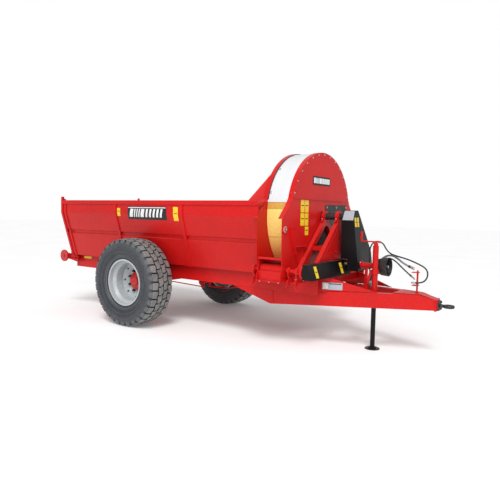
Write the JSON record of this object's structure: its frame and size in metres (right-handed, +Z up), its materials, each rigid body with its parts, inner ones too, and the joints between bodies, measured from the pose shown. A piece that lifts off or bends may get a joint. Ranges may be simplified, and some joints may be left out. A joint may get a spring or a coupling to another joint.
{
  "type": "side-discharge spreader trailer",
  "caption": "Farm spreader trailer: open hopper on one axle, floor conveyor, front rotor drum with side outlet, chain drives, V drawbar and screw jack.",
  "frame": {"origin": "bottom centre of the whole machine's bounding box, on the ground", "axes": "+X forward to the tow eye, -Y the right-hand side with the outlet, +Z up"},
  "size_m": [5.69, 2.425, 2.212],
  "materials": {
    "red_paint": "semi-gloss red machine paint",
    "floor_steel": "worn red paint",
    "worn_steel": "worn bare steel",
    "dark_steel": "dark forged steel",
    "stainless": "bright stainless sheet",
    "yellow_paint": "golden yellow paint",
    "black_paint": "satin black paint",
    "black_rubber": "matt black rubber",
    "grey_hose": "grey hose sleeve",
    "black_plastic": "black moulded plastic",
    "zinc_steel": "zinc plated",
    "wheel_silver": "silver wheel paint",
    "tyre": "moulded rubber"
  },
  "bodies": {
    "chassis": {"axle": "red_paint", "bearing_blocks": "red_paint", "bearing_frame_front": "red_paint", "bearing_frame_rear": "red_paint", "black_panel": "black_rubber", "brake_linkage": "red_paint", "chain_guard": "black_paint", "chassis_beams": "red_paint", "conveyor_chain": "worn_steel", "cross_guard": "black_paint", "cross_members": "red_paint", "drawbar_arms": "red_paint", "drawbar_gussets": "red_paint", "drawbar_nose": "red_paint", "drive_chains": "dark_steel", "drum_cover": "stainless", "drum_front_plate": "red_paint", "drum_rear_plate": "red_paint", "drum_trough": "red_paint", "hood_gussets": "red_paint", "hopper_floor": "floor_steel", "hose_couplers": "zinc_steel", "hose_grey": "grey_hose", "hose_holder": "red_paint", "hose_long": "black_rubber", "hose_manifold": "zinc_steel", "hose_straight": "black_rubber", "jack_brackets": "red_paint", "jack_tube": "red_paint", "pto_cone": "black_plastic", "pto_tube": "red_paint", "roller_box": "red_paint", "shaft_bearings": "red_paint", "side_wall_left": "red_paint", "side_wall_right": "red_paint", "tensioners": "red_paint", "top_rails": "red_paint", "tow_eye": "dark_steel", "wall_ribs": "red_paint"},
    "wheel_right": {"tyre_right": "tyre", "rim_right": "wheel_silver", "hub_right": "red_paint", "wheel_nuts_right": "zinc_steel"},
    "wheel_left": {"tyre_left": "tyre", "rim_left": "wheel_silver", "hub_left": "red_paint", "wheel_nuts_left": "zinc_steel"},
    "rotor": {"rotor_shaft": "dark_steel", "rotor_body": "red_paint"},
    "input": {"pto_shaft": "worn_steel"},
    "side_drive": {"side_shaft": "red_paint", "discharge_roller": "red_paint", "drive_disc": "red_paint"},
    "hatch": {"discharge_hatch": "yellow_paint"},
    "gate": {"tailgate": "red_paint"},
    "conveyor_front": {"conveyor_front_shaft": "worn_steel"},
    "conveyor_rear": {"conveyor_rear_roller": "worn_steel", "roller_caps": "red_paint"},
    "leg": {"jack_leg": "black_paint"},
    "crank": {"jack_crank": "red_paint"}
  },
  "joints": [
    {"name": "wheel_right_spin", "type": "hinge", "parent": "chassis", "child": "wheel_right", "pos_m": [-0.905, -1.02, 0.565], "axis": [0, 1, 0], "continuous": true},
    {"name": "wheel_left_spin", "type": "hinge", "parent": "chassis", "child": "wheel_left", "pos_m": [-0.905, 1.02, 0.565], "axis": [0, 1, 0], "continuous": true},
    {"name": "rotor_spin", "type": "hinge", "parent": "chassis", "child": "rotor", "pos_m": [1.125, 0, 1.46], "axis": [1, 0, 0], "continuous": true},
    {"name": "input_spin", "type": "hinge", "parent": "chassis", "child": "input", "pos_m": [1.695, 0, 0.912], "axis": [1, 0, 0], "continuous": true},
    {"name": "side_shaft_spin", "type": "hinge", "parent": "chassis", "child": "side_drive", "pos_m": [1.195, -0.82, 0.868], "axis": [1, 0, 0], "continuous": true},
    {"name": "hatch_swing", "type": "hinge", "parent": "chassis", "child": "hatch", "pos_m": [1.125, 0, 1.46], "axis": [-1, 0, 0], "range_deg": [0, 51]},
    {"name": "tailgate_swing", "type": "hinge", "parent": "chassis", "child": "gate", "pos_m": [-2.624, 0, 1.592], "axis": [0, 1, 0], "range_deg": [0, 80]},
    {"name": "conveyor_rear_spin", "type": "hinge", "parent": "chassis", "child": "conveyor_rear", "pos_m": [-2.755, 0, 0.77], "axis": [0, 1, 0], "continuous": true},
    {"name": "conveyor_front_spin", "type": "hinge", "parent": "chassis", "child": "conveyor_front", "pos_m": [0.855, 0, 0.77], "axis": [0, 1, 0], "continuous": true},
    {"name": "jack_crank_turn", "type": "hinge", "parent": "chassis", "child": "crank", "pos_m": [2.028, -0.144, 1.19], "axis": [0, 0, 1], "range_deg": [0, 18000]},
    {"name": "jack_leg_slide", "type": "slide", "parent": "chassis", "child": "leg", "axis": [0, 0, 1], "range_m": [0, 0.4]}
  ],
  "couplings": [
    {"joint": "input_spin", "follows": "rotor_spin", "ratio": 1},
    {"joint": "side_shaft_spin", "follows": "rotor_spin", "ratio": 0.69231},
    {"joint": "conveyor_front_spin", "follows": "conveyor_rear_spin", "ratio": 1},
    {"joint": "jack_leg_slide", "follows": "jack_crank_turn", "m_per_rad": 0.0012732}
  ]
}
